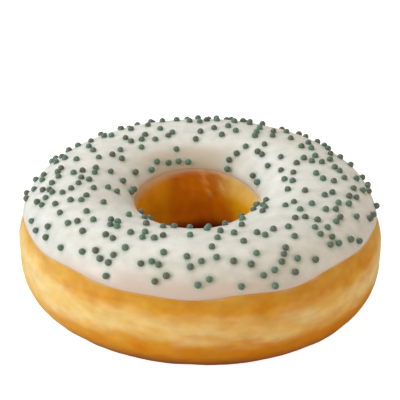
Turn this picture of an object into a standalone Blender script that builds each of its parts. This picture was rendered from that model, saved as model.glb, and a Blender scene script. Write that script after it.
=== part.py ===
"""Ring doughnut: a fried dough ring under a skin of white icing dotted with sugar pearls.

Metres, +Z up. The ring stands on its flat underside at z = 0, and the upright line
through the middle of the ring is x = y = 0. The side that is seen first faces -Y.
"""

import math
import random

import bmesh
import bpy
from mathutils import Matrix, Vector

# Cross-section of the ring, iced: a rounded square, wider towards the hole
TUBE_CIRCLE_RADIUS = 0.03284
OUTER_REACH = 0.01466
HOLE_REACH = 0.01844
WIDEST_HEIGHT = 0.01475
RISE = 0.0161
DROP = 0.0151
UPPER_SQUARENESS = 2.48
LOWER_SQUARENESS = 3.15

# Unevenness round the ring: rows of (waves a turn, cosine size, sine size)
SIDE_WAVES = ((2, 0.00051, -0.00043), (3, -0.00027, -0.00019))
HOLE_WAVES = (
    (1, -0.00118, 0.00021),
    (2, -0.00051, 0.00108),
    (3, -0.00012, 0.00106),
    (4, 0.00027, -0.00026),
)
TOP_WAVES = ((1, 0.00005, -0.00071),)

# Icing: height of its two edges above the widest circle, thickness and clearance
SIDE_EDGE_HEIGHT = 0.00804
SIDE_EDGE_WAVES = (
    (1, 0.0003, -0.00008),
    (2, -0.00001, -0.00026),
    (4, -0.0005, 0.00009),
    (6, -0.00018, 0.00002),
    (8, 0.00001, 0.0002),
    (12, -0.00027, 0.00008),
)
HOLE_EDGE_HEIGHT = 0.0084
HOLE_EDGE_WAVES = (
    (1, 0.00013, 0.00153),
    (2, -0.00037, -0.00089),
    (3, 0.00038, -0.00005),
    (4, 0.00013, -0.00027),
)
ICING_THICKNESS = 0.0012
ICING_EDGE_THICKNESS = 0.00055
ICING_EDGE_BEAD = 0.00015
ICING_CLEARANCE = 0.00032
ICING_BEAD_WIDTH = math.radians(9)
DOUGH_SHOULDER_START = math.radians(4)
EDGE_THICKENING = math.radians(22)
EDGE_ROUNDNESS = 6

# Sugar pearls, fused to the icing
PEARL_DIAMETER = 0.00178
PEARL_COUNT = 232
PEARL_RAISE = 0.3 * PEARL_DIAMETER / 2
PEARL_TOUCHING = 1.06 * PEARL_DIAMETER
PEARL_TOUCHING_SPREAD = 1.15
PEARL_APART = 0.0025
PEARL_PARTNER_SHARE = 0.05
PEARL_SIDE_MARGIN = math.radians(4)
PEARL_HOLE_MARGIN = math.radians(4)
PEARL_SIDE_THINNING = math.radians(20)
PEARL_HOLE_THINNING = math.radians(8)
PEARL_CROWN_ANGLE = math.radians(74)
PEARL_CROWN_WIDTH = math.radians(24)
PEARL_CROWN_EXTRA = 0.2
PEARL_SPARSER_AZIMUTH = math.radians(205)
PEARL_SPARSER_SHARE = 0.05
PEARL_SEED = 229

# Mesh fineness
ROUND_SEGMENTS = 56
DOUGH_TUBE_SEGMENTS = 24
ICING_TUBE_SEGMENTS = 22
ICING_FACE_SHARE = 12 / 22

DOUGH_COLOUR = (0.70, 0.40, 0.10, 1.0)
ICING_COLOUR = (0.86, 0.84, 0.80, 1.0)
PEARL_COLOUR = (0.10, 0.16, 0.13, 1.0)


def clear_scene():
    """Remove every object that the scene starts with."""
    for item in list(bpy.data.objects):
        bpy.data.objects.remove(item, do_unlink=True)


def new_collection(name):
    """Make a collection linked to the scene."""
    group = bpy.data.collections.new(name)
    bpy.context.scene.collection.children.link(group)
    return group


def new_material(name, colour, roughness):
    """Make a Principled BSDF material with one colour and roughness."""
    material = bpy.data.materials.new(name)
    material.use_nodes = True
    shader = material.node_tree.nodes["Principled BSDF"]
    shader.inputs["Base Color"].default_value = colour
    shader.inputs["Roughness"].default_value = roughness
    shader.inputs["Metallic"].default_value = 0.0
    material.diffuse_color = colour
    return material


def wave(rows, azimuth):
    """Sum of waves at an azimuth round the ring."""
    return sum(
        cosine * math.cos(turns * azimuth) + sine * math.sin(turns * azimuth)
        for turns, cosine, sine in rows
    )


def smooth_step(value):
    """Ease from 0 to 1 as the value goes from 0 to 1."""
    value = min(1.0, max(0.0, value))
    return value * value * (3.0 - 2.0 * value)


def rounded_square(angle, squareness):
    """Point of the unit rounded square in the direction of an angle."""
    across, up = math.cos(angle), math.sin(angle)
    reach = (abs(across) ** squareness + abs(up) ** squareness) ** (-1.0 / squareness)
    return across * reach, up * reach


def outline(azimuth, angle):
    """Radius and height of the iced ring's outline, without the flat underside.

    The angle turns round the tube: 0 at the outer side, a quarter turn at the top.
    """
    squareness = UPPER_SQUARENESS if math.sin(angle) > 0 else LOWER_SQUARENESS
    across, up = rounded_square(angle, squareness)
    if across > 0:
        reach = OUTER_REACH + wave(SIDE_WAVES, azimuth)
    else:
        reach = HOLE_REACH - wave(HOLE_WAVES, azimuth)
    rise = RISE + wave(TOP_WAVES, azimuth) if up > 0 else DROP
    return TUBE_CIRCLE_RADIUS + across * reach, WIDEST_HEIGHT + up * rise


def outline_normal(azimuth, angle):
    """Outward direction of the outline, as a radius and height pair."""
    step = 0.01
    radius_1, height_1 = outline(azimuth, angle - step)
    radius_2, height_2 = outline(azimuth, angle + step)
    along_radius, along_height = radius_2 - radius_1, height_2 - height_1
    size = math.hypot(along_radius, along_height)
    return along_height / size, -along_radius / size


def place(azimuth, angle, offset):
    """Point at an offset outwards from the outline."""
    radius, height = outline(azimuth, angle)
    out_radius, out_height = outline_normal(azimuth, angle)
    radius += offset * out_radius
    height += offset * out_height
    return Vector((radius * math.cos(azimuth), radius * math.sin(azimuth), height))


def angle_at_height(azimuth, height):
    """Tube angle, on the outer side, where the outline is at a height above its widest circle."""
    up = height / (RISE + wave(TOP_WAVES, azimuth))
    across = (1.0 - up**UPPER_SQUARENESS) ** (1.0 / UPPER_SQUARENESS)
    return math.atan2(up, across)


def icing_edges(azimuth):
    """Tube angles of the icing's outer edge and of its edge in the hole."""
    side = SIDE_EDGE_HEIGHT + wave(SIDE_EDGE_WAVES, azimuth)
    hole = HOLE_EDGE_HEIGHT + wave(HOLE_EDGE_WAVES, azimuth)
    return angle_at_height(azimuth, side), math.pi - angle_at_height(azimuth, hole)


def dough_depth(azimuth, angle):
    """How far the bare dough lies inside the iced outline at a tube angle."""
    side_edge, hole_edge = icing_edges(azimuth)
    edge_depth = ICING_EDGE_THICKNESS + ICING_CLEARANCE
    extra = ICING_THICKNESS - ICING_EDGE_THICKNESS
    depth = edge_depth + extra
    for edge, turned in ((side_edge, angle), (math.pi - hole_edge, math.pi - angle)):
        shoulder = smooth_step((turned - DOUGH_SHOULDER_START) / (edge - DOUGH_SHOULDER_START))
        thicker = smooth_step((turned - edge) / EDGE_THICKENING)
        depth = min(depth, edge_depth * shoulder + extra * thicker)
    return depth


def dough_point(azimuth, angle):
    """Point of the dough's surface, with the underside cut flat."""
    wrapped = angle if angle > -math.pi / 2 else angle + 2 * math.pi
    point = place(azimuth, angle, -dough_depth(azimuth, wrapped))
    point.z = max(point.z, 0.0)
    return point


def icing_face_offset(azimuth, angle, along):
    """Offset of the icing's outer face from the outline, with its two edges rounded off."""
    side_edge, hole_edge = icing_edges(azimuth)
    from_edge = min(angle - side_edge, hole_edge - angle)
    bead = ICING_EDGE_BEAD * (1.0 - smooth_step(from_edge / ICING_BEAD_WIDTH))
    under = ICING_CLEARANCE - dough_depth(azimuth, angle)
    fullness = math.sqrt(1.0 - abs(2.0 * along - 1.0) ** EDGE_ROUNDNESS)
    return under + (bead - under) * fullness


def icing_point(azimuth, angle):
    """Point of the icing's closed skin for an angle round a torus tube.

    The first part of the turn runs over the icing's face from its outer edge to its edge
    in the hole, and the rest runs back along the side that lies on the dough.
    """
    side_edge, hole_edge = icing_edges(azimuth)
    turn = (angle / (2 * math.pi)) % 1.0
    if turn <= ICING_FACE_SHARE:
        along = 0.5 - 0.5 * math.cos(math.pi * turn / ICING_FACE_SHARE)
        tube_angle = side_edge + along * (hole_edge - side_edge)
        return place(azimuth, tube_angle, icing_face_offset(azimuth, tube_angle, along))
    along = (1.0 - turn) / (1.0 - ICING_FACE_SHARE)
    tube_angle = side_edge + along * (hole_edge - side_edge)
    return place(azimuth, tube_angle, ICING_CLEARANCE - dough_depth(azimuth, tube_angle))


def shaped_torus(name, tube_segments, shape, group, material):
    """Add a torus and move each of its points where a shape function puts it."""
    bpy.ops.mesh.primitive_torus_add(
        major_radius=TUBE_CIRCLE_RADIUS,
        minor_radius=OUTER_REACH,
        major_segments=ROUND_SEGMENTS,
        minor_segments=tube_segments,
    )
    ring = bpy.context.object
    ring.name = ring.data.name = name
    for vertex in ring.data.vertices:
        x, y, z = vertex.co
        angle = math.atan2(z, math.hypot(x, y) - TUBE_CIRCLE_RADIUS)
        vertex.co = shape(math.atan2(y, x), angle if abs(angle) > 1e-6 else 0.0)
    form = bmesh.new()
    form.from_mesh(ring.data)
    bmesh.ops.recalc_face_normals(form, faces=form.faces)
    bmesh.ops.triangulate(form, faces=form.faces)
    form.to_mesh(ring.data)
    form.free()
    ring.data.shade_smooth()
    ring.data.materials.append(material)
    for other in list(ring.users_collection):
        other.objects.unlink(ring)
    group.objects.link(ring)
    return ring


def pearl_density(azimuth, angle):
    """Relative number of pearls on a patch: most on the crown, few low on the sides."""
    side_edge, hole_edge = icing_edges(azimuth)
    off_crown = (angle - PEARL_CROWN_ANGLE) / PEARL_CROWN_WIDTH
    crown = 1.0 - PEARL_CROWN_EXTRA + PEARL_CROWN_EXTRA * math.exp(-(off_crown**2))
    low_side = smooth_step((angle - side_edge) / PEARL_SIDE_THINNING)
    low_hole = smooth_step((hole_edge - angle) / PEARL_HOLE_THINNING)
    sparser = 1.0 - PEARL_SPARSER_SHARE * math.cos(azimuth - PEARL_SPARSER_AZIMUTH)
    radius = outline(azimuth, angle)[0] / (TUBE_CIRCLE_RADIUS + OUTER_REACH)
    return crown * low_side * low_hole * sparser * radius


def pearl_seats():
    """Azimuth, tube angle and point of each pearl, a few beside a neighbour and the rest apart."""
    draw = random.Random(PEARL_SEED)
    seats = []
    while len(seats) < PEARL_COUNT:
        partnered = bool(seats) and draw.random() < PEARL_PARTNER_SHARE
        if partnered:
            near = seats[draw.randrange(len(seats))]
            heading = draw.uniform(0, 2 * math.pi)
            distance = PEARL_TOUCHING * draw.uniform(1.0, PEARL_TOUCHING_SPREAD)
            azimuth = near[0] + distance * math.cos(heading) / near[2].to_2d().length
            angle = near[1] + distance * math.sin(heading) / OUTER_REACH
        else:
            azimuth = draw.uniform(-math.pi, math.pi)
            angle = draw.uniform(0.0, math.pi)
        side_edge, hole_edge = icing_edges(azimuth)
        if not side_edge + PEARL_SIDE_MARGIN < angle < hole_edge - PEARL_HOLE_MARGIN:
            continue
        if draw.random() > pearl_density(azimuth, angle):
            continue
        point = place(azimuth, angle, PEARL_RAISE)
        spacing = PEARL_TOUCHING if partnered else PEARL_APART
        if all((point - other[2]).length >= spacing for other in seats):
            seats.append((azimuth, angle, point))
    return seats


def add_pearls(group, material):
    """Add one small faceted ball at each seat, turned to stand on the icing."""
    for number, (azimuth, angle, point) in enumerate(pearl_seats()):
        out_radius, out_height = outline_normal(azimuth, angle)
        upward = Vector((out_radius * math.cos(azimuth), out_radius * math.sin(azimuth), out_height))
        turned = upward.to_track_quat("Z", "Y").to_matrix().to_4x4()
        form = bmesh.new()
        bmesh.ops.create_icosphere(
            form, subdivisions=1, radius=PEARL_DIAMETER / 2, matrix=Matrix.Translation(point) @ turned
        )
        mesh = bpy.data.meshes.new(f"pearl_{number}")
        form.to_mesh(mesh)
        form.free()
        mesh.shade_smooth()
        mesh.materials.append(material)
        group.objects.link(bpy.data.objects.new(f"pearl_{number}", mesh))


def fuse(target, group):
    """Join every object of a collection to the target, and remove them."""
    union = target.modifiers.new("fused pearls", "BOOLEAN")
    union.operation = "UNION"
    union.operand_type = "COLLECTION"
    union.collection = group
    union.solver = "MANIFOLD"
    bpy.context.view_layer.objects.active = target
    bpy.ops.object.modifier_apply(modifier=union.name)
    for item in list(group.objects):
        bpy.data.objects.remove(item, do_unlink=True)
    bpy.data.collections.remove(group)


def main():
    """Build the dough ring and the icing with its pearls."""
    clear_scene()
    doughnut = new_collection("doughnut")
    loose_pearls = new_collection("loose pearls")
    dough = new_material("fried dough", DOUGH_COLOUR, 0.55)
    sugar = new_material("white icing", ICING_COLOUR, 0.3)
    pearl = new_material("green sugar pearl", PEARL_COLOUR, 0.4)
    shaped_torus("dough_ring", DOUGH_TUBE_SEGMENTS, dough_point, doughnut, dough)
    icing = shaped_torus("icing", ICING_TUBE_SEGMENTS, icing_point, doughnut, sugar)
    add_pearls(loose_pearls, pearl)
    fuse(icing, loose_pearls)


main()
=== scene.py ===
"""Looks of an iced ring doughnut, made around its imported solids.

The dough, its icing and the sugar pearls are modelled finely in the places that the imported
solids hold. Everything is in metres with +Z up, and the side seen first faces -Y.
"""

import logging
import math
import random
from dataclasses import dataclass, field
from enum import Enum

import bmesh
import bpy
import numpy as np
from mathutils import Matrix, Vector, kdtree, noise


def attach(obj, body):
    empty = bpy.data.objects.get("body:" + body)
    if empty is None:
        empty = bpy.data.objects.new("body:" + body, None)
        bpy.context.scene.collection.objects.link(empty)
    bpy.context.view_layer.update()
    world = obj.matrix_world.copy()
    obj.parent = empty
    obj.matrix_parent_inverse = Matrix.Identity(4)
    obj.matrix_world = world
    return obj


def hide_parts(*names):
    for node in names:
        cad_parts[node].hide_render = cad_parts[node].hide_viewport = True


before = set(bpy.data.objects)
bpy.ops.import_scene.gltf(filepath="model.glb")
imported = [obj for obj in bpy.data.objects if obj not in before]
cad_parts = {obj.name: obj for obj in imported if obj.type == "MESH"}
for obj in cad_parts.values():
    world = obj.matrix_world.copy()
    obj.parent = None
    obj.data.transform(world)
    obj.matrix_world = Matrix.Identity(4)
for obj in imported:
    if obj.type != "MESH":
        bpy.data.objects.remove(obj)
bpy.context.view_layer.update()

MILLIMETRE = 0.001
PEARL_DIAMETER = 0.00178

logging.basicConfig(level=logging.INFO, format="%(message)s")
log = logging.getLogger("doughnut")

Numbers = np.ndarray | float
Waves = tuple[tuple[int, float, float], ...]
Colour = tuple[float, float, float]
Ends = tuple[float, float]
Socket = bpy.types.NodeSocket
Input = Socket | float | Colour
Inputs = dict[str | int, Input]


class Node(Enum):
    """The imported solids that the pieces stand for."""

    DOUGH = "dough_ring"
    ICING = "icing"


class Slot(Enum):
    """The record's material slots."""

    DOUGH = "fried_dough"
    ICING = "white_icing"
    PEARLS = "sugar_pearls"


def smooth_step(value: Numbers) -> Numbers:
    """Ease from 0 to 1 as each value goes from 0 to 1."""
    value = np.clip(value, 0.0, 1.0)
    return value * value * (3.0 - 2.0 * value)


def near(value: Numbers, middle: float, spread: float, power: int = 2) -> Numbers:
    """Mask that is 1 at a middle value and falls towards 0 on both sides of it."""
    return np.exp(-(((value - middle) / spread) ** power))


def turn_from(azimuth: np.ndarray, middle: float) -> np.ndarray:
    """Turn from a middle azimuth, from minus to plus half a turn."""
    return (azimuth - middle + math.pi) % (2 * math.pi) - math.pi


def linear(red: int, green: int, blue: int) -> Colour:
    """Turn a colour of 0 to 255 a channel, as a screen shows it, into linear light.

    Args:
        red: The red channel.
        green: The green channel.
        blue: The blue channel.

    Returns:
        The three linear channels from 0 to 1.
    """
    knee, slope, lift, power = 0.04045, 12.92, 0.055, 2.4
    channels = (part / 255.0 for part in (red, green, blue))
    return tuple(c / slope if c <= knee else ((c + lift) / (1.0 + lift)) ** power for c in channels)


@dataclass(frozen=True)
class RingForm:
    """The uneven outline that the iced ring has all round, and where its layers lie.

    An azimuth turns round the ring from +X. A tube angle turns round its section: 0 at the
    outer side, a quarter turn at the top and a half turn in the hole.
    """

    tube_circle_radius: float = 0.03284
    outer_reach: float = 0.01466
    hole_reach: float = 0.01844
    widest_height: float = 0.01475
    rise: float = 0.0161
    drop: float = 0.0151
    upper_squareness: float = 2.48
    lower_squareness: float = 3.15
    side_waves: Waves = ((2, 0.00051, -0.00043), (3, -0.00027, -0.00019))
    hole_waves: Waves = (
        (1, -0.00118, 0.00021),
        (2, -0.00051, 0.00108),
        (3, -0.00012, 0.00106),
        (4, 0.00027, -0.00026),
    )
    top_waves: Waves = ((1, 0.00005, -0.00071),)
    side_edge_height: float = 0.00804
    side_edge_waves: Waves = (
        (1, 0.0003, -0.00008),
        (2, -0.00001, -0.00026),
        (4, -0.0005, 0.00009),
        (6, -0.00018, 0.00002),
        (8, 0.00001, 0.0002),
        (12, -0.00027, 0.00008),
    )
    hole_edge_height: float = 0.0084
    hole_edge_waves: Waves = (
        (1, 0.00013, 0.00153),
        (2, -0.00037, -0.00089),
        (3, 0.00038, -0.00005),
        (4, 0.00013, -0.00027),
    )
    icing_thickness: float = 0.0012
    icing_edge_thickness: float = 0.00055
    icing_edge_bead: float = 0.00015
    icing_clearance: float = 0.00012
    solids_clearance: float = 0.00032
    bead_width: float = math.radians(9)
    shoulder_start: float = math.radians(4)
    thickening: float = math.radians(22)

    @staticmethod
    def wave(rows: Waves, azimuth: np.ndarray) -> np.ndarray:
        """Sum of waves at each azimuth.

        Args:
            rows: Waves a turn, cosine size and sine size of each wave.
            azimuth: Angles round the ring.

        Returns:
            The summed height of the waves.
        """
        total = np.zeros_like(azimuth)
        for turns, cosine, sine in rows:
            total = total + cosine * np.cos(turns * azimuth) + sine * np.sin(turns * azimuth)
        return total

    def outline(self, azimuth: np.ndarray, angle: np.ndarray) -> tuple[np.ndarray, np.ndarray]:
        """Radius and height of the iced outline.

        Args:
            azimuth: Angles round the ring.
            angle: Angles round the tube.

        Returns:
            The radius from the ring's axis and the height above the underside.
        """
        across, up = np.cos(angle), np.sin(angle)
        squareness = np.where(up > 0, self.upper_squareness, self.lower_squareness)
        reach = (np.abs(across) ** squareness + np.abs(up) ** squareness) ** (-1.0 / squareness)
        across, up = across * reach, up * reach
        outer = self.outer_reach + self.wave(self.side_waves, azimuth)
        inner = self.hole_reach - self.wave(self.hole_waves, azimuth)
        rise = self.rise + self.wave(self.top_waves, azimuth)
        radius = self.tube_circle_radius + across * np.where(across > 0, outer, inner)
        return radius, self.widest_height + up * np.where(up > 0, rise, self.drop)

    def outward(self, azimuth: np.ndarray, angle: np.ndarray) -> tuple[np.ndarray, np.ndarray]:
        """Outward direction of the outline.

        Args:
            azimuth: Angles round the ring.
            angle: Angles round the tube.

        Returns:
            The direction's part along the radius and its part upwards.
        """
        step = 0.01
        radius_1, height_1 = self.outline(azimuth, angle - step)
        radius_2, height_2 = self.outline(azimuth, angle + step)
        along_radius, along_height = radius_2 - radius_1, height_2 - height_1
        size = np.hypot(along_radius, along_height)
        return along_height / size, -along_radius / size

    def place(self, azimuth: np.ndarray, angle: np.ndarray, offset: Numbers) -> np.ndarray:
        """Points at an offset outwards from the outline.

        Args:
            azimuth: Angles round the ring.
            angle: Angles round the tube.
            offset: Distances outwards.

        Returns:
            One row of x, y and z for each point.
        """
        radius, height = self.outline(azimuth, angle)
        out_radius, out_height = self.outward(azimuth, angle)
        radius = radius + offset * out_radius
        height = height + offset * out_height
        return np.stack([radius * np.cos(azimuth), radius * np.sin(azimuth), height], axis=-1)

    def angle_at_height(self, azimuth: np.ndarray, height: np.ndarray) -> np.ndarray:
        """Tube angle on the outer side at a height above the widest circle."""
        up = height / (self.rise + self.wave(self.top_waves, azimuth))
        across = (1.0 - up**self.upper_squareness) ** (1.0 / self.upper_squareness)
        return np.arctan2(up, across)

    def icing_edges(self, azimuth: np.ndarray) -> tuple[np.ndarray, np.ndarray]:
        """Tube angles of the icing's outer edge and of its edge in the hole."""
        side = self.side_edge_height + self.wave(self.side_edge_waves, azimuth)
        hole = self.hole_edge_height + self.wave(self.hole_edge_waves, azimuth)
        return self.angle_at_height(azimuth, side), math.pi - self.angle_at_height(azimuth, hole)

    def dough_depth(self, azimuth: np.ndarray, angle: np.ndarray) -> np.ndarray:
        """How far the bare dough lies inside the iced outline.

        Args:
            azimuth: Angles round the ring.
            angle: Angles round the tube, from minus a quarter turn to three quarters.

        Returns:
            The depth under the outline.
        """
        side_edge, hole_edge = self.icing_edges(azimuth)
        edge_depth = self.icing_edge_thickness + self.solids_clearance
        extra = self.icing_thickness - self.icing_edge_thickness
        depth = np.full_like(angle, edge_depth + extra)
        for edge, turned in ((side_edge, angle), (math.pi - hole_edge, math.pi - angle)):
            shoulder = smooth_step((turned - self.shoulder_start) / (edge - self.shoulder_start))
            thicker = smooth_step((turned - edge) / self.thickening)
            depth = np.minimum(depth, edge_depth * shoulder + extra * thicker)
        return depth


def spun_tube(
    name: str, ring: RingForm, points: int, steps: int
) -> tuple[bpy.types.Object, np.ndarray, np.ndarray]:
    """Spin a circle of points round the ring's axis into a closed tube.

    Args:
        name: The piece's name.
        ring: The ring that the tube belongs to.
        points: Points round the section.
        steps: Sections round the ring.

    Returns:
        The piece, and the azimuth and tube angle of each of its vertices.
    """
    form = bmesh.new()
    upright = Matrix.Translation((ring.tube_circle_radius, 0, 0)) @ Matrix.Rotation(math.pi / 2, 4, "X")
    made = bmesh.ops.create_circle(form, segments=points, radius=ring.outer_reach, matrix=upright)
    edges = dict.fromkeys(edge for vertex in made["verts"] for edge in vertex.link_edges)
    bmesh.ops.spin(
        form,
        geom=made["verts"] + list(edges),
        cent=(0, 0, 0),
        axis=(0, 0, 1),
        angle=2 * math.pi,
        steps=steps,
        use_merge=True,
    )
    piece = new_piece(name, form)
    flat = np.empty(len(piece.data.vertices) * 3)
    piece.data.vertices.foreach_get("co", flat)
    x, y, z = flat.reshape(-1, 3).T
    return piece, np.arctan2(y, x), np.arctan2(z, np.hypot(x, y) - ring.tube_circle_radius)


def new_piece(name: str, form: bmesh.types.BMesh) -> bpy.types.Object:
    """Make an object of a bmesh.

    Args:
        name: The piece's name.
        form: The bmesh, which is freed.

    Returns:
        The new object, linked to the scene.
    """
    mesh = bpy.data.meshes.new(name)
    form.to_mesh(mesh)
    form.free()
    face_outwards(mesh)
    mesh.shade_smooth()
    piece = bpy.data.objects.new(name, mesh)
    bpy.context.scene.collection.objects.link(piece)
    return piece


def face_outwards(mesh: bpy.types.Mesh) -> None:
    """Turn every face of a closed mesh outwards."""
    form = bmesh.new()
    form.from_mesh(mesh)
    bmesh.ops.recalc_face_normals(form, faces=form.faces)
    form.to_mesh(mesh)
    form.free()
    mesh.update()


def move_points(mesh: bpy.types.Mesh, points: np.ndarray) -> None:
    """Move the vertices of a closed mesh, one row of x, y and z for each."""
    mesh.vertices.foreach_set("co", points.astype(np.float32).ravel())
    face_outwards(mesh)


def add_mask(mesh: bpy.types.Mesh, name: str, values: np.ndarray) -> None:
    """Store one number for each vertex under a name that a material can read."""
    layer = mesh.attributes.new(name, "FLOAT", "POINT")
    layer.data.foreach_set("value", values.astype(np.float32))


@dataclass(frozen=True)
class Lumps:
    """Soft unevenness by the width and height of its lumps, a seed and the number of layers."""

    size: float
    height: float
    seed: float
    layers: int = 3

    def at(self, points: np.ndarray) -> np.ndarray:
        """Height of the lumps at each point.

        Args:
            points: A row of x, y and z for each point.

        Returns:
            One height for each point, above or below 0.
        """
        fading, finer = 0.9, 2.0
        shift = Vector((self.seed, 2.3 * self.seed, -1.7 * self.seed))
        places = (Vector(point) / self.size + shift for point in points)
        return self.height * np.array([noise.fractal(p, fading, finer, self.layers) for p in places])


class Nodes:
    """A material's or group's node tree, with short calls to fill it."""

    def __init__(self, tree: bpy.types.NodeTree) -> None:
        """Keep the tree."""
        self.tree = tree

    def feed(self, socket: Socket, value: Input) -> None:
        """Link an input to an output, or give it a plain value.

        Args:
            socket: The input.
            value: An output socket, a number, a colour or a vector.
        """
        if isinstance(value, Socket):
            self.tree.links.new(value, socket)
        elif socket.type == "RGBA":
            socket.default_value = (*value, 1.0)
        else:
            socket.default_value = value

    def add(self, kind: str, inputs: Inputs | None = None, **settings: object) -> bpy.types.Node:
        """Add a node.

        Args:
            kind: The node's type name.
            inputs: Values or output sockets for its inputs, by name or place.
            **settings: The node's own settings.

        Returns:
            The node.
        """
        node = self.tree.nodes.new(kind)
        for name, value in settings.items():
            setattr(node, name, value)
        for name, value in (inputs or {}).items():
            self.feed(node.inputs[name], value)
        return node

    def math(self, operation: str, first: Input, second: Input = 0.0, clamp: bool = False) -> Socket:
        """Output of a Math node on two numbers or sockets."""
        made = self.add("ShaderNodeMath", {0: first, 1: second}, operation=operation, use_clamp=clamp)
        return made.outputs[0]

    def times(self, first: Input, second: Input) -> Socket:
        """Output of a product."""
        return self.math("MULTIPLY", first, second)

    def minus(self, first: Input, second: Input) -> Socket:
        """Output of a difference."""
        return self.math("SUBTRACT", first, second)

    def lessened(self, mask: Socket, share: float) -> Socket:
        """Output that is 1 less a share of a mask."""
        return self.minus(1.0, self.times(mask, share))

    def span(self, value: Socket, ends: Ends, smooth: bool = True) -> Socket:
        """Mask that goes from 0 where a value is at the first end to 1 at the second.

        Args:
            value: The value's socket.
            ends: The two ends, in either order.
            smooth: Whether the mask eases in and out.

        Returns:
            The mask's socket.
        """
        kind = "SMOOTHSTEP" if smooth else "LINEAR"
        inputs = {"Value": value, "From Min": ends[0], "From Max": ends[1]}
        return self.add("ShaderNodeMapRange", inputs, interpolation_type=kind).outputs["Result"]

    def mix(self, share: Input, first: Input, second: Input, blend: str = "MIX") -> Socket:
        """Output of a colour mix.

        Args:
            share: How much of the second colour shows.
            first: The colour below.
            second: The colour above.
            blend: How the two are mixed.

        Returns:
            The mixed colour's socket.
        """
        inputs = {0: share, 6: first, 7: second}
        return self.add("ShaderNodeMix", inputs, data_type="RGBA", blend_type=blend).outputs[2]

    def attribute(self, name: str) -> Socket:
        """Output of a number stored on the mesh."""
        return self.add("ShaderNodeAttribute", attribute_name=name).outputs["Fac"]

    def place(self) -> Socket:
        """Output of the point on the object, in metres."""
        return self.add("ShaderNodeTexCoord").outputs["Object"]

    def bump(self, shader: bpy.types.Node, height: Socket, strength: float, rise: float) -> None:
        """Give a shader's surface a fine relief.

        Args:
            shader: The material's shader.
            height: The relief's height, about 0 to 1.
            strength: How strongly it shows.
            rise: How high 1 stands above 0, in metres.
        """
        made = self.add("ShaderNodeBump", {"Height": height, "Strength": strength, "Distance": rise})
        self.feed(shader.inputs["Normal"], made.outputs["Normal"])


def new_material(name: str) -> tuple[bpy.types.Material, Nodes, bpy.types.Node]:
    """Make a material with a Principled BSDF.

    Args:
        name: The material's name.

    Returns:
        The material, its nodes and its shader node.
    """
    material = bpy.data.materials.new(name)
    material.use_nodes = True
    nodes = Nodes(material.node_tree)
    return material, nodes, material.node_tree.nodes["Principled BSDF"]


def mottle_group() -> bpy.types.NodeTree:
    """Group that gives uneven patches, as baking and setting leave on food.

    Returns:
        A group with a size, a flatness and a contrast as inputs and one mask as output.
    """
    name = "uneven patches"
    if name in bpy.data.node_groups:
        return bpy.data.node_groups[name]
    group = bpy.data.node_groups.new(name, "ShaderNodeTree")
    for label in ("Patch Size", "Flatness", "Contrast"):
        group.interface.new_socket(label, in_out="INPUT", socket_type="NodeSocketFloat")
    group.interface.new_socket("Mask", in_out="OUTPUT", socket_type="NodeSocketFloat")
    nodes = Nodes(group)
    given = nodes.add("NodeGroupInput").outputs
    stretch = nodes.add("ShaderNodeCombineXYZ", {"X": 1.0, "Y": 1.0, "Z": given["Flatness"]}).outputs[0]
    flat = nodes.add("ShaderNodeVectorMath", {0: nodes.place(), 1: stretch}, operation="MULTIPLY")
    scale = nodes.math("DIVIDE", 1.0, given["Patch Size"])
    patches = nodes.add("ShaderNodeTexNoise", {"Vector": flat.outputs[0], "Scale": scale, "Detail": 2.0})
    centred = nodes.times(nodes.minus(patches.outputs["Fac"], 0.5), given["Contrast"])
    nodes.add("NodeGroupOutput", {"Mask": nodes.math("ADD", centred, 0.5, clamp=True)})
    return group


@dataclass(frozen=True)
class Patches:
    """Uneven patches by their width, their flatness and the contrast between them."""

    size: float
    flatness: float
    contrast: float

    def mask(self, nodes: Nodes) -> Socket:
        """Place the shared group with these values and give its mask."""
        inputs = {"Patch Size": self.size, "Flatness": self.flatness, "Contrast": self.contrast}
        return nodes.add("ShaderNodeGroup", inputs, node_tree=mottle_group()).outputs[0]


@dataclass(frozen=True)
class Grain:
    """A plain noise by the width of its grains and the number of finer layers."""

    size: float
    layers: float

    def value(self, nodes: Nodes, where: Socket) -> Socket:
        """Output of the noise at a point."""
        inputs = {"Vector": where, "Scale": 1.0 / self.size, "Detail": self.layers}
        return nodes.add("ShaderNodeTexNoise", inputs).outputs["Fac"]


@dataclass(frozen=True)
class Translucence:
    """How much light sinks into a surface, and how far each colour of it goes."""

    weight: float
    reach: Colour
    scale: float = 0.0015

    def give(self, shader: bpy.types.Node) -> None:
        """Set a shader's sockets to it."""
        shader.inputs["Subsurface Weight"].default_value = self.weight
        shader.inputs["Subsurface Radius"].default_value = self.reach
        shader.inputs["Subsurface Scale"].default_value = self.scale


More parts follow.
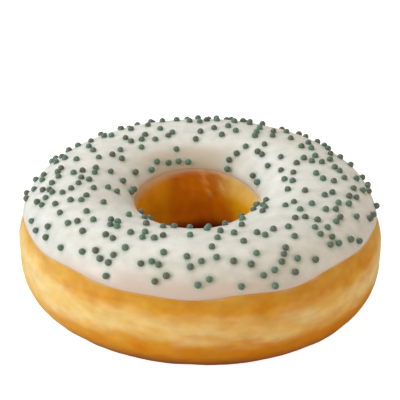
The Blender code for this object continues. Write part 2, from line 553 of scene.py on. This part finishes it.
@dataclass(frozen=True)
class CrustFinish:
    """Fried crust: golden above and below a pale waist, deep amber in the hole; painted shade makes it
    browner underneath, on its right, under the icing's edge and low in the hole, and painted light makes its
    flanks and the hole's right wall lighter.
    """

    pale: Colour = linear(255, 232, 168)
    pale_streak: Colour = linear(252, 210, 120)
    golden: Colour = linear(240, 190, 74)
    amber: Colour = linear(226, 145, 14)
    deep_amber: Colour = linear(224, 138, 0)
    # Painted shadow: darker crust just under the icing's overhanging edge.
    painted_shade_under_icing: Colour = linear(208, 160, 72)
    # Painted shade: the crust goes dark along its bottom edge, where little light reaches.
    brown: Colour = linear(132, 56, 0)
    hole_bright: Colour = linear(242, 152, 4)
    hole_deep: Colour = linear(204, 104, 0)
    # Painted shadow under the icing's lip, at the top of the hole's wall.
    hole_lip_shadow: Colour = linear(192, 96, 0)
    # Painted light: golden and pale where the lamps light the hole's wall, most on its right.
    hole_lit_gold: Colour = linear(255, 194, 22)
    hole_lit_pale: Colour = linear(255, 216, 116)
    # Painted shade: dark red-brown deep in the hole, where little light reaches.
    hole_depth_shade: Colour = linear(96, 8, 0)
    # Pale creases on the hole's wall: partly the crust's own colour, partly painted highlight on their
    # ridges.
    crease: Colour = linear(255, 212, 132)
    film: Colour = linear(224, 206, 178)
    waist_height: float = 0.0138
    waist_half_width: float = 0.0027
    waist_softness: float = 0.0033
    wider_waist: float = 0.0035
    waist_wander: tuple[tuple[Patches, float], ...] = (
        (Patches(0.022, 1.0, 1.0), 0.0052),
        (Patches(0.0065, 2.0, 1.0), 0.006),
    )
    waist_streaks: Patches = Patches(0.01, 2.8, 2.4)
    blotches: Patches = Patches(0.0065, 1.6, 2.2)
    under_icing_heights: Ends = (0.0185, 0.0215)
    under_icing_share: float = 0.3
    # Deeper amber below the waist, darker towards the bottom; the extra share on the right is painted shade
    # on the side away from the main light.
    below_heights: Ends = (0.0115, 0.0065)
    below_share: float = 0.6
    below_right: Ends = (0.0, 0.02)
    below_right_share: float = 0.35
    low_heights: Ends = (0.0068, 0.0008)
    # How far the painted light on the flanks lessens the painted shade low down and widens the pale waist.
    lighter_low: float = 0.7
    lighter_flank: float = 0.16
    hole_insets: Ends = (0.004, 0.012)
    hole_streaks: Patches = Patches(0.006, 0.4, 1.8)
    hole_top_heights: Ends = (0.019, 0.0235)
    hole_top_share: float = 0.6
    hole_pale_heights: Ends = (0.0165, 0.021)
    hole_pale_right: Ends = (-0.002, 0.006)
    hole_blotches: Patches = Patches(0.004, 0.6, 2.2)
    hole_blotch_least: float = 0.75
    hole_blotch_share: float = 0.5
    far_top_heights: Ends = (0.0195, 0.0225)
    far_top_left: Ends = (0.0, 0.004)
    far_top_right: Ends = (0.01, 0.004)
    hole_low_heights: Ends = (0.0125, 0.008)
    crease_radius: float = 0.0145
    crease_stretch: float = 0.35
    crease_grain: Grain = Grain(0.0024, 1.5)
    crease_ends: Ends = (0.46, 0.68)
    crease_share: float = 0.7
    film_share: float = 0.8
    clouds: Patches = Patches(0.0045, 1.4, 2.4)
    cloud_shades: tuple[Colour, Colour] = ((0.92, 0.91, 0.89), (1.05, 1.05, 1.05))
    pores: Grain = Grain(0.0011, 4.0)
    pore_ends: Ends = (0.3, 0.7)
    pore_share: float = 0.06
    dimples: Grain = Grain(0.0042, 1.0)
    dimple_strength: float = 0.4
    dimple_rise: float = 0.0008
    roughness: float = 0.45
    gloss: float = 0.08
    translucence: Translucence = Translucence(0.12, (1.0, 0.5, 0.15))

    def off_waist(self, nodes: Nodes, height: Socket) -> Socket:
        """Mask that is 0 on the pale waist and 1 off it, with ragged wandering edges.

        Args:
            nodes: The material's nodes.
            height: The height on the dough.

        Returns:
            The mask's socket.
        """
        shifted = height
        for patches, reach in self.waist_wander:
            shifted = nodes.math("ADD", shifted, nodes.times(nodes.minus(patches.mask(nodes), 0.5), reach))
        off = nodes.math("ABSOLUTE", nodes.minus(shifted, self.waist_height))
        # The pale waist is widened where painted light lies on the flanks.
        off = nodes.minus(off, nodes.times(nodes.attribute("painted_light"), self.wider_waist))
        inner = self.waist_half_width - self.waist_softness
        return nodes.span(off, (inner, self.waist_half_width + self.waist_softness))

    def side(self, nodes: Nodes, axes: bpy.types.Node) -> Socket:
        """Colour of the outer side: pale streaky waist, blotched golden above and below, with painted shade
        under the icing's edge, low down and on the right, and painted light that widens the waist and
        lightens the flanks.

        Args:
            nodes: The material's nodes.
            axes: The node that splits the point on the dough into x, y and z.

        Returns:
            The colour's socket.
        """
        height, painted_light = axes.outputs["Z"], nodes.attribute("painted_light")
        waist = nodes.mix(self.waist_streaks.mask(nodes), self.pale, self.pale_streak)
        fried = nodes.mix(self.blotches.mask(nodes), self.golden, self.amber)
        # Painted shadow under the icing's overhanging edge.
        painted_shade_under_icing = nodes.times(nodes.span(height, self.under_icing_heights), self.under_icing_share)
        fried = nodes.mix(painted_shade_under_icing, fried, self.painted_shade_under_icing)
        # Painted light on the flanks lessens the painted shade low down.
        light_side = nodes.lessened(painted_light, self.lighter_low)
        # Painted shade: more of the deeper amber on the right, the side away from the main light.
        on_right = nodes.times(nodes.span(axes.outputs["X"], self.below_right), self.below_right_share)
        share = nodes.times(nodes.math("ADD", self.below_share, on_right), light_side)
        below = nodes.times(nodes.span(height, self.below_heights), share)
        fried = nodes.mix(below, fried, self.deep_amber)
        # Painted shade along the bottom edge.
        low = nodes.times(nodes.span(height, self.low_heights), light_side)
        off_waist = nodes.times(self.off_waist(nodes, height), nodes.lessened(painted_light, self.lighter_flank))
        return nodes.mix(off_waist, waist, nodes.mix(low, fried, self.brown))

    def creases(self, nodes: Nodes, axes: bpy.types.Node) -> Socket:
        """Mask of short slanting pale creases on the hole's wall: partly the crust's own creases, partly
        painted highlight on their ridges.

        Args:
            nodes: The material's nodes.
            axes: The node that splits the point on the dough into x, y and z.

        Returns:
            The mask's socket.
        """
        turned = nodes.math("ARCTAN2", axes.outputs["Y"], axes.outputs["X"])
        along = nodes.times(turned, self.crease_radius)
        rising = nodes.times(nodes.math("ADD", along, axes.outputs["Z"]), self.crease_stretch)
        falling = nodes.minus(along, axes.outputs["Z"])
        slanted = nodes.add("ShaderNodeCombineXYZ", {"X": falling, "Y": rising}).outputs[0]
        lines = nodes.span(self.crease_grain.value(nodes, slanted), self.crease_ends)
        return nodes.times(lines, nodes.attribute("crease"))

    def hole(self, nodes: Nodes, axes: bpy.types.Node) -> Socket:
        """Colour of the hole's wall: deep amber with pale creases, painted light on its right, painted shadow
        under the icing's lip and painted shade that turns it red-brown low down.

        Args:
            nodes: The material's nodes.
            axes: The node that splits the point on the dough into x, y and z.

        Returns:
            The colour's socket.
        """
        height, aside, painted_light = axes.outputs["Z"], axes.outputs["X"], nodes.attribute("painted_light")
        wall = nodes.mix(self.hole_streaks.mask(nodes), self.hole_deep, self.hole_bright)
        # Painted shadow under the icing's lip.
        top = nodes.times(nodes.span(height, self.hole_top_heights), self.hole_top_share)
        wall = nodes.mix(top, wall, self.hole_lip_shadow)
        # Painted light on the hole's right wall, palest high on the far right.
        on_right = nodes.span(aside, self.hole_pale_right)
        far_right = nodes.times(nodes.span(height, self.hole_pale_heights), on_right)
        bright = nodes.mix(far_right, self.hole_lit_gold, self.hole_lit_pale)
        uneven = nodes.times(self.hole_blotches.mask(nodes), self.hole_blotch_share)
        uneven = nodes.math("ADD", uneven, self.hole_blotch_least, clamp=True)
        wall = nodes.mix(nodes.times(painted_light, uneven), wall, bright)
        # Painted shadow under the icing's lip on the far wall, laid over the painted light too.
        across = nodes.times(nodes.span(aside, self.far_top_right), nodes.span(aside, self.far_top_left))
        far_top = nodes.times(nodes.span(height, self.far_top_heights), across)
        wall = nodes.mix(nodes.times(far_top, self.hole_top_share), wall, self.hole_lip_shadow)
        wall = nodes.mix(nodes.times(self.creases(nodes, axes), self.crease_share), wall, self.crease)
        # Painted shade deep in the hole, lessened where painted light lies.
        low = nodes.times(nodes.span(height, self.hole_low_heights), nodes.lessened(painted_light, self.lighter_low))
        return nodes.mix(low, wall, self.hole_depth_shade)

    def material(self, ring: RingForm) -> bpy.types.Material:
        """Make the crust's material.

        Args:
            ring: The ring whose radius tells the hole's wall from the outer side.

        Returns:
            The material.
        """
        material, nodes, shader = new_material("fried crust")
        place = nodes.place()
        axes = nodes.add("ShaderNodeSeparateXYZ", {0: place})
        level = nodes.add("ShaderNodeVectorMath", {0: place, 1: (1.0, 1.0, 0.0)}, operation="MULTIPLY")
        radius = nodes.add("ShaderNodeVectorMath", {0: level.outputs[0]}, operation="LENGTH").outputs["Value"]
        in_hole = nodes.span(radius, tuple(ring.tube_circle_radius - inset for inset in self.hole_insets))
        colour = nodes.mix(in_hole, self.side(nodes, axes), self.hole(nodes, axes))
        colour = nodes.mix(nodes.times(nodes.attribute("film"), self.film_share), colour, self.film)
        shade = nodes.mix(self.clouds.mask(nodes), *self.cloud_shades)
        nodes.feed(shader.inputs["Base Color"], nodes.mix(1.0, colour, shade, "MULTIPLY"))
        pores = nodes.span(self.pores.value(nodes, place), self.pore_ends, smooth=False)
        relief = nodes.math("ADD", nodes.times(pores, self.pore_share), self.dimples.value(nodes, place))
        nodes.bump(shader, relief, self.dimple_strength, self.dimple_rise)
        shader.inputs["Roughness"].default_value = self.roughness
        shader.inputs["Specular IOR Level"].default_value = self.gloss
        self.translucence.give(shader)
        return material


@dataclass(frozen=True)
class IcingFinish:
    """Set white icing: soft, slightly see-through, warmer where it thins at its edges, with painted warm
    shade towards its outer edge and on the hole's far slope, and painted shade round each pearl.
    """

    white: Colour = linear(240, 246, 242)
    shaded_white: Colour = linear(233, 238, 233)
    thin_edge: Colour = linear(250, 208, 176)
    # Painted shade: beige-grey on the icing's far slope into the hole.
    far_slope_shade: Colour = linear(215, 208, 192)
    # Painted shade: warm and darker on the icing towards its outer edge, most in front.
    painted_rim_shade: Colour = linear(228, 213, 202)
    # Grey-green round each pearl: partly colour run from the pearl, partly painted shade where its shadow
    # falls.
    dye_and_shade: Colour = linear(206, 222, 212)
    crumb: Colour = linear(186, 138, 96)
    patches: Patches = Patches(0.012, 1.0, 1.4)
    clouds: Patches = Patches(0.0032, 1.0, 2.2)
    cloud_shades: tuple[Colour, Colour] = ((0.91, 0.91, 0.91), (1.07, 1.07, 1.07))
    thin_edge_share: float = 0.6
    crumb_spacing: float = 0.014
    crumb_ends: Ends = (0.0385, 0.0245)
    crumb_share: float = 0.7
    swells: Grain = Grain(0.0035, 3.0)
    swell_strength: float = 0.3
    swell_rise: float = 0.0003
    roughness: float = 0.34
    translucence: Translucence = Translucence(0.25, (1.0, 0.75, 0.55))

    def material(self) -> bpy.types.Material:
        """Make the icing's material.

        Returns:
            The material.
        """
        material, nodes, shader = new_material("white icing")
        place = nodes.place()
        colour = nodes.mix(self.patches.mask(nodes), self.white, self.shaded_white)
        shade = nodes.mix(self.clouds.mask(nodes), *self.cloud_shades)
        colour = nodes.mix(1.0, colour, shade, "MULTIPLY")
        # Painted shade on the hole's far slope and towards the outer edge, and painted shade mixed with
        # colour run from the pearls round each pearl.
        for mask, tint in (("slope", self.far_slope_shade), ("rim", self.painted_rim_shade), ("dye_and_shade", self.dye_and_shade)):
            colour = nodes.mix(nodes.attribute(mask), colour, tint)
        colour = nodes.mix(nodes.times(nodes.attribute("thin"), self.thin_edge_share), colour, self.thin_edge)
        cells = nodes.add("ShaderNodeTexVoronoi", {"Vector": place, "Scale": 1.0 / self.crumb_spacing})
        crumbs = nodes.span(cells.outputs["Distance"], self.crumb_ends)
        colour = nodes.mix(nodes.times(crumbs, self.crumb_share), colour, self.crumb)
        nodes.feed(shader.inputs["Base Color"], colour)
        shader.inputs["Roughness"].default_value = self.roughness
        self.translucence.give(shader)
        nodes.bump(shader, self.swells.value(nodes, place), self.swell_strength, self.swell_rise)
        return material


@dataclass(frozen=True)
class PearlFinish:
    """Polished sugar pearls in dark grey-green, each a little different."""

    grey: Colour = linear(101, 110, 99)
    green: Colour = linear(99, 138, 121)
    roughness: float = 0.3

    def material(self) -> bpy.types.Material:
        """Make the pearls' material.

        Returns:
            The material.
        """
        material, nodes, shader = new_material("green sugar")
        colour = nodes.mix(nodes.attribute("tint"), self.grey, self.green)
        nodes.feed(shader.inputs["Base Color"], colour)
        shader.inputs["Roughness"].default_value = self.roughness
        return material


@dataclass(frozen=True)
class LitFlank:
    """A stretch of the outer side lightened by painted light and sheen, by its middle and spread in degrees,
    and how pale it is.
    """

    middle: float
    spread: float
    share: float


@dataclass
class DoughRing:
    """The fried ring of dough, with the swells and wrinkles of its crust."""

    ring: RingForm
    finish: CrustFinish = field(default_factory=CrustFinish)
    section_points: int = 120
    sections: int = 300
    swells: Lumps = Lumps(0.012, 0.00018, 3.1)
    puckers: Lumps = Lumps(0.0035, 0.00006, 7.7)
    smooth_from: float = 0.9
    crease_azimuth: float = math.radians(63)
    crease_spread: float = math.radians(27)
    crease_low: float = 0.0165
    crease_high: float = 0.02
    # Where painted light lies on the hole's wall: most on its right, a little on its left.
    paler_from: float = math.radians(71)
    paler_soft: float = math.radians(24)
    paler_until: float = math.radians(-70)
    paler_slant: float = math.radians(2.2) / MILLIMETRE
    paler_level: float = 0.0155
    left_from: float = math.radians(112)
    left_share: float = 0.5
    # Painted light and sheen on the flanks, strongest on the front left where the low lamps strike.
    lit_flanks: tuple[LitFlank, ...] = (
        LitFlank(203, 30, 0.85),
        LitFlank(180, 14, 0.2),
        LitFlank(302, 12, 0.12),
        LitFlank(351, 14, 0.5),
    )
    hole_film: float = math.radians(5)
    wider_film: float = math.radians(6)
    wider_film_azimuth: float = math.radians(145)
    wider_film_spread: float = math.radians(32)
    side_film: float = math.radians(1.3)

    def relief(self, azimuth: np.ndarray, angle: np.ndarray, depth: np.ndarray) -> np.ndarray:
        """Height of the crust's swells and wrinkles, none under the icing.

        Args:
            azimuth: Angles round the ring.
            angle: Angles round the tube.
            depth: How far the dough lies under the iced outline there.

        Returns:
            Offsets outwards.
        """
        points = self.ring.place(azimuth, angle, 0.0)
        bare = 1.0 - smooth_step(depth / (self.smooth_from * self.ring.icing_edge_thickness))
        return bare * (self.swells.at(points) + self.puckers.at(points))

    def creased(self, azimuth: np.ndarray, height: np.ndarray) -> np.ndarray:
        """How creased the hole's wall is at each place, most high on its far right."""
        raised = smooth_step((height - self.crease_low) / (self.crease_high - self.crease_low))
        return near(azimuth, self.crease_azimuth, self.crease_spread) * raised

    def painted_light(self, azimuth: np.ndarray, angle: np.ndarray, height: np.ndarray) -> np.ndarray:
        """How much painted light lightens the crust: on the hole's right, a little on its left, and on both
        flanks.

        Args:
            azimuth: Angles round the ring.
            angle: Angles round the tube.
            height: Heights above the underside.

        Returns:
            One number from 0 to 1 for each point.
        """
        slanted = azimuth - self.paler_slant * (height - self.paler_level)
        right = smooth_step((self.paler_from - slanted) / self.paler_soft)
        right = right * smooth_step((azimuth - self.paler_until) / self.paler_soft)
        right = right + self.left_share * smooth_step((azimuth - self.left_from) / self.paler_soft)
        side = np.zeros_like(azimuth)
        for flank in self.lit_flanks:
            turned = turn_from(azimuth, math.radians(flank.middle))
            side = side + flank.share * near(turned, 0.0, math.radians(flank.spread))
        return np.where(np.cos(angle) < 0.0, right, side)

    def film(self, azimuth: np.ndarray, angle: np.ndarray) -> np.ndarray:
        """How much icing has smeared onto the crust beside the skin's edges.

        Args:
            azimuth: Angles round the ring.
            angle: Angles round the tube.

        Returns:
            One number from 0 to 1 for each point.
        """
        side_edge, hole_edge = self.ring.icing_edges(azimuth)
        wider = near(azimuth, self.wider_film_azimuth, self.wider_film_spread)
        reach = self.hole_film + self.wider_film * wider
        in_hole = 1.0 - smooth_step((angle - hole_edge) / reach)
        on_side = 1.0 - smooth_step((side_edge - angle) / self.side_film)
        return np.where(angle > math.pi / 2, in_hole, on_side)

    def build(self) -> bpy.types.Object:
        """Model the ring and dress it.

        Returns:
            The finished piece.
        """
        piece, azimuth, angle = spun_tube("dough_crust", self.ring, self.section_points, self.sections)
        turned = np.where(angle > -math.pi / 2, angle, angle + 2 * math.pi)
        depth = self.ring.dough_depth(azimuth, turned)
        offset = self.relief(azimuth, turned, depth) - depth
        points = self.ring.place(azimuth, turned, offset)
        points[:, 2] = np.maximum(points[:, 2], 0.0)
        move_points(piece.data, points)
        add_mask(piece.data, "crease", self.creased(azimuth, points[:, 2]))
        add_mask(piece.data, "painted_light", self.painted_light(azimuth, turned, points[:, 2]))
        add_mask(piece.data, "film", self.film(azimuth, turned))
        piece.data.materials.append(self.finish.material(self.ring))
        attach(piece, "root")
        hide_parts(Node.DOUGH.value)
        return piece


@dataclass(frozen=True)
class Seat:
    """Where one sugar pearl sits: its azimuth, its tube angle and its centre."""

    azimuth: float
    angle: float
    centre: np.ndarray


@dataclass
class PearlSeats:
    """Where the sugar pearls sit: a few beside a neighbour and the rest apart."""

    ring: RingForm
    count: int = 292
    raised: float = 0.3
    touching: float = 1.06
    touching_spread: float = 1.15
    apart: float = 0.0025
    partner_share: float = 0.05
    edge_margin: float = math.radians(4)
    side_thinning: float = math.radians(20)
    hole_thinning: float = math.radians(8)
    crown_angle: float = math.radians(74)
    crown_width: float = math.radians(24)
    crown_extra: float = 0.2
    sparser_azimuth: float = math.radians(205)
    sparser_share: float = 0.05
    seed: int = 229

    def density(self, azimuth: float, angle: float) -> float:
        """Relative number of pearls on a patch: most on the crown, few low on the sides.

        Args:
            azimuth: The patch's angle round the ring.
            angle: Its angle round the tube.

        Returns:
            The chance from 0 to 1 that a pearl dropped there stays.
        """
        side_edge, hole_edge = self.ring.icing_edges(np.array(azimuth))
        crown = 1.0 - self.crown_extra + self.crown_extra * near(angle, self.crown_angle, self.crown_width)
        low_side = smooth_step((angle - side_edge) / self.side_thinning)
        low_hole = smooth_step((hole_edge - angle) / self.hole_thinning)
        sparser = 1.0 - self.sparser_share * math.cos(azimuth - self.sparser_azimuth)
        radius = self.ring.outline(np.array(azimuth), np.array(angle))[0]
        size = self.ring.tube_circle_radius + self.ring.outer_reach
        return float(crown * low_side * low_hole * sparser * radius / size)

    def places(self) -> list[Seat]:
        """Drop the pearls one by one where they have room.

        Returns:
            The pearls' seats, in the order in which they were dropped.
        """
        draw = random.Random(self.seed)
        touching = self.touching * PEARL_DIAMETER
        seats: list[Seat] = []
        while len(seats) < self.count:
            partnered = bool(seats) and draw.random() < self.partner_share
            if partnered:
                partner = seats[draw.randrange(len(seats))]
                heading = draw.uniform(0, 2 * math.pi)
                distance = touching * draw.uniform(1.0, self.touching_spread)
                radius = float(np.hypot(partner.centre[0], partner.centre[1]))
                azimuth = partner.azimuth + distance * math.cos(heading) / radius
                angle = partner.angle + distance * math.sin(heading) / self.ring.outer_reach
            else:
                azimuth = draw.uniform(-math.pi, math.pi)
                angle = draw.uniform(0.0, math.pi)
            side_edge, hole_edge = self.ring.icing_edges(np.array(azimuth))
            if not side_edge + self.edge_margin < angle < hole_edge - self.edge_margin:
                continue
            if draw.random() > self.density(azimuth, angle):
                continue
            raised = self.raised * PEARL_DIAMETER / 2
            centre = self.ring.place(np.array(azimuth), np.array(angle), raised)
            spacing = touching if partnered else self.apart
            if all(float(np.linalg.norm(centre - other.centre)) >= spacing for other in seats):
                seats.append(Seat(azimuth, angle, centre))
        return seats


@dataclass
class IcingSkin:
    """The skin of icing, with a rounded wavy edge, lying on the dough."""

    ring: RingForm
    seats: list[Seat]
    finish: IcingFinish = field(default_factory=IcingFinish)
    section_points: int = 110
    sections: int = 330
    face_share: float = 0.7
    edge_roundness: float = 9.0
    side_swelling: float = 0.5
    hole_swelling: float = 0.9
    ripples: Lumps = Lumps(0.012, 0.00017, 5.3, 2)
    # Reach of the colour run and painted shade round each pearl.
    dye_full: float = 0.0006
    dye_reach: float = 0.0016
    thin_reach: float = math.radians(2.3)
    thin_hole_reach: float = math.radians(5)
    thin_hole_share: float = 0.6
    edge_clearance: float = 0.00004
    # Where the painted shade lies on the hole's far slope.
    slope_azimuth: float = math.radians(102)
    slope_spread: float = math.radians(38)
    slope_top: float = math.radians(110)
    slope_bottom: float = math.radians(126)
    # Where the painted warm shade lies towards the outer edge, wider in front.
    rim_reach: float = math.radians(12)
    rim_share: float = 0.4
    front_rim_reach: float = math.radians(28)
    front_azimuth: float = math.radians(256)
    front_spread: float = math.radians(32)

    def rim(self, azimuth: np.ndarray, above_edge: np.ndarray) -> np.ndarray:
        """How much painted warm shade lies on the icing towards its outer edge, most in front.

        Args:
            azimuth: Angles round the ring.
            above_edge: Tube angles above the icing's outer edge.

        Returns:
            One number from 0 to 1 for each point.
        """
        front = near(turn_from(azimuth, self.front_azimuth), 0.0, self.front_spread, 4)
        reach = self.rim_reach + (self.front_rim_reach - self.rim_reach) * front
        share = self.rim_share + (1.0 - self.rim_share) * front
        return share * (1.0 - smooth_step(above_edge / reach))

    def slope(self, azimuth: np.ndarray, tube: np.ndarray) -> np.ndarray:
        """How much painted shade lies on the icing's far slope into the hole, from 0 to 1."""
        down = smooth_step((tube - self.slope_top) / (self.slope_bottom - self.slope_top))
        return near(azimuth, self.slope_azimuth, self.slope_spread, 4) * down

    def points(
        self, azimuth: np.ndarray, angle: np.ndarray
    ) -> tuple[np.ndarray, np.ndarray, np.ndarray]:
        """Points of the closed skin for angles round a plain tube.

        Args:
            azimuth: Angles round the ring.
            angle: Angles round the plain tube; the first share of a turn is the outer face.

        Returns:
            The points, the tube angle of each, and how thin the skin is there at its edges.
        """
        rounding = 1e-7
        side_edge, hole_edge = self.ring.icing_edges(azimuth)
        turn = (angle / (2 * math.pi)) % 1.0
        turn = np.where(turn > 1.0 - rounding, 0.0, turn)
        on_face = turn <= self.face_share
        face_along = 0.5 - 0.5 * np.cos(math.pi * turn / self.face_share)
        back_along = (1.0 - turn) / (1.0 - self.face_share)
        along = np.clip(np.where(on_face, face_along, back_along), 0.0, 1.0)
        tube = side_edge + along * (hole_edge - side_edge)
        from_edge = np.minimum(tube - side_edge, hole_edge - tube)
        inside = smooth_step(from_edge / self.ring.bead_width)
        clearance = self.edge_clearance + (self.ring.icing_clearance - self.edge_clearance) * inside
        under = clearance - self.ring.dough_depth(azimuth, tube)
        bead = self.ring.icing_edge_bead * (1.0 - inside)
        ripple = self.ripples.at(self.ring.place(azimuth, tube, 0.0))
        swelling = np.where(along < 0.5, self.side_swelling, self.hole_swelling)
        fullness = np.clip(1.0 - np.abs(2.0 * along - 1.0) ** self.edge_roundness, 0.0, 1.0) ** swelling
        face = under + (bead + ripple - under) * fullness
        reach = np.where(tube < math.pi / 2, self.thin_reach, self.thin_hole_reach)
        share = np.where(tube < math.pi / 2, 1.0, self.thin_hole_share)
        thin = share * (1.0 - smooth_step(from_edge / reach))
        return self.ring.place(azimuth, tube, np.where(on_face, face, under)), tube, thin

    def dye_and_shade(self, points: np.ndarray) -> np.ndarray:
        """How strongly the pearls' colour, together with painted shade, shows in the icing round each pearl.

        Args:
            points: A row of x, y and z for each point.

        Returns:
            One number from 0 to 1 for each point.
        """
        tree = kdtree.KDTree(len(self.seats))
        for number, seat in enumerate(self.seats):
            tree.insert(Vector(seat.centre), number)
        tree.balance()
        gap = np.array([tree.find(Vector(point))[2] for point in points])
        return 1.0 - smooth_step((gap - self.dye_full) / self.dye_reach)

    def build(self) -> bpy.types.Object:
        """Model the skin and dress it.

        Returns:
            The finished piece.
        """
        piece, azimuth, angle = spun_tube("icing_skin", self.ring, self.section_points, self.sections)
        points, tube, thin = self.points(azimuth, angle)
        move_points(piece.data, points)
        add_mask(piece.data, "dye_and_shade", self.dye_and_shade(points))
        add_mask(piece.data, "thin", thin)
        add_mask(piece.data, "slope", self.slope(azimuth, tube))
        add_mask(piece.data, "rim", self.rim(azimuth, tube - self.ring.icing_edges(azimuth)[0]))
        piece.data.materials.append(self.finish.material())
        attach(piece, "root")
        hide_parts(Node.ICING.value)
        return piece


@dataclass
class SugarPearls:
    """All the sugar pearls in one piece."""

    seats: list[Seat]
    finish: PearlFinish = field(default_factory=PearlFinish)
    squash: Ends = (0.93, 1.02)
    swelling: Ends = (0.95, 1.04)
    seed: int = 5

    def build(self) -> bpy.types.Object:
        """Model a ball at each seat and dress them.

        Returns:
            The finished piece.
        """
        draw = random.Random(self.seed)
        form = bmesh.new()
        tints: list[float] = []
        for seat in self.seats:
            scale = Matrix.Diagonal((1.0, draw.uniform(*self.squash), 1.0, 1.0))
            turn = draw.uniform(0, math.pi)
            axis = Vector((draw.random(), draw.random(), 1.0)).normalized()
            place = Matrix.Translation(Vector(seat.centre)) @ Matrix.Rotation(turn, 4, axis) @ scale
            radius = PEARL_DIAMETER / 2 * draw.uniform(*self.swelling)
            made = bmesh.ops.create_icosphere(form, subdivisions=2, radius=radius, matrix=place)
            tints.extend([draw.random()] * len(made["verts"]))
        piece = new_piece("sugar_pearls", form)
        add_mask(piece.data, "tint", np.array(tints))
        piece.data.materials.append(self.finish.material())
        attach(piece, "root")
        return piece


@dataclass(frozen=True)
class Softbox:
    """A square area light: its direction in degrees, the length of its sides, its power and tint."""

    name: str
    azimuth: float
    height: float
    size: float
    watts: float
    tint: Colour = (0.95, 1.0, 1.03)

    def hang(self, target: Vector, distance: float) -> None:
        """Hang the light so that it points at a target.

        Args:
            target: The point that it lights.
            distance: How far off it hangs.
        """
        data = bpy.data.lights.new(self.name, "AREA")
        data.size = self.size
        data.energy = self.watts
        data.color = self.tint
        light = bpy.data.objects.new(self.name, data)
        bpy.context.scene.collection.objects.link(light)
        turn, up = math.radians(self.azimuth), math.radians(self.height)
        towards = Vector((math.cos(turn) * math.cos(up), math.sin(turn) * math.cos(up), math.sin(up)))
        light.location = towards * distance + target
        light.rotation_euler = towards.to_track_quat("Z", "Y").to_euler()


@dataclass
class Studio:
    """A plain pale floor, soft light and the camera that looks at the doughnut."""

    ring: RingForm
    camera_distance: float = 0.4806
    line_of_sight: float = math.radians(30.078)
    target_below_middle: float = 33.47
    target_aside: float = 0.95
    focal_pixels: float = 1800.0
    image_pixels: float = 400.0
    sensor_millimetres: float = 36.0
    nearest_shown: float = 0.01
    floor_size: float = 6.0
    floor_colour: Colour = (0.6, 0.6, 0.6)
    floor_roughness: float = 0.9
    floor_glow: float = 0.08
    floor_seen_glow: float = 0.84
    world_light: float = 0.355
    world_tint: Colour = (1.0, 0.74, 0.53)
    lamp_distance: float = 0.9
    softboxes: tuple[Softbox, ...] = (
        Softbox("low_left_softbox", 205, 8, 0.25, 2.0),
        Softbox("left_softbox", 200, 36, 0.6, 2.5),
        Softbox("top_softbox", 112, 62, 0.6, 2.5),
        Softbox("right_softbox", 347, 10, 0.4, 1.3),
        Softbox("front_softbox", 288, 9, 0.3, 0.9, (1.0, 0.68, 0.42)),
        Softbox("back_softbox", 110, 25, 0.6, 1.2),
    )

    def camera(self, target: Vector) -> None:
        """Place the camera where the photographed proportions put it.

        Args:
            target: The point that it is aimed by.
        """
        back = Vector((0, -math.cos(self.line_of_sight), math.sin(self.line_of_sight)))
        data = bpy.data.cameras.new("camera")
        data.sensor_width = self.sensor_millimetres
        data.lens = self.sensor_millimetres * self.focal_pixels / self.image_pixels
        data.clip_start = self.nearest_shown
        camera = bpy.data.objects.new("camera", data)
        bpy.context.scene.collection.objects.link(camera)
        camera.location = target + back * self.camera_distance
        raised = math.atan(self.target_below_middle / self.focal_pixels)
        aside = math.atan(self.target_aside / self.focal_pixels)
        camera.rotation_euler = (math.pi / 2 - self.line_of_sight + raised, 0.0, aside)
        bpy.context.scene.camera = camera

    def floor(self) -> None:
        """Lay a white floor that shows almost no shadow."""
        form = bmesh.new()
        bmesh.ops.create_grid(form, x_segments=1, y_segments=1, size=self.floor_size / 2)
        floor = new_piece("floor", form)
        material, nodes, shader = new_material("white floor")
        shader.inputs["Roughness"].default_value = self.floor_roughness
        shader.inputs["Base Color"].default_value = (*self.floor_colour, 1.0)
        shader.inputs["Specular IOR Level"].default_value = 0.0
        seen = nodes.add("ShaderNodeLightPath").outputs["Is Camera Ray"]
        glow = nodes.math("ADD", nodes.times(seen, self.floor_seen_glow), self.floor_glow)
        shader.inputs["Emission Color"].default_value = (1.0, 1.0, 1.0, 1.0)
        nodes.feed(shader.inputs["Emission Strength"], glow)
        floor.data.materials.append(material)

    def world(self) -> None:
        """Fill the surroundings with even warm light."""
        world = bpy.data.worlds.new("warm surroundings")
        world.use_nodes = True
        back = world.node_tree.nodes["Background"]
        back.inputs["Color"].default_value = (*self.world_tint, 1.0)
        back.inputs["Strength"].default_value = self.world_light
        bpy.context.scene.world = world

    def build(self) -> None:
        """Set up the camera, floor, lights and surroundings."""
        target = Vector((0, 0, self.ring.widest_height))
        self.camera(target)
        self.floor()
        self.world()
        for softbox in self.softboxes:
            softbox.hang(target, self.lamp_distance)
        bpy.context.scene.view_settings.view_transform = "Standard"
        bpy.context.scene.view_settings.look = "None"


def main() -> None:
    """Build the studio and the doughnut's pieces in order."""
    ring = RingForm()
    Studio(ring).build()
    seats = PearlSeats(ring).places()
    log.info("%d pearls seated", len(seats))
    for maker in (DoughRing(ring), IcingSkin(ring, seats), SugarPearls(seats)):
        piece = maker.build()
        log.info("%s: %d faces", piece.name, len(piece.data.polygons))


if __name__ == "__main__":
    main()
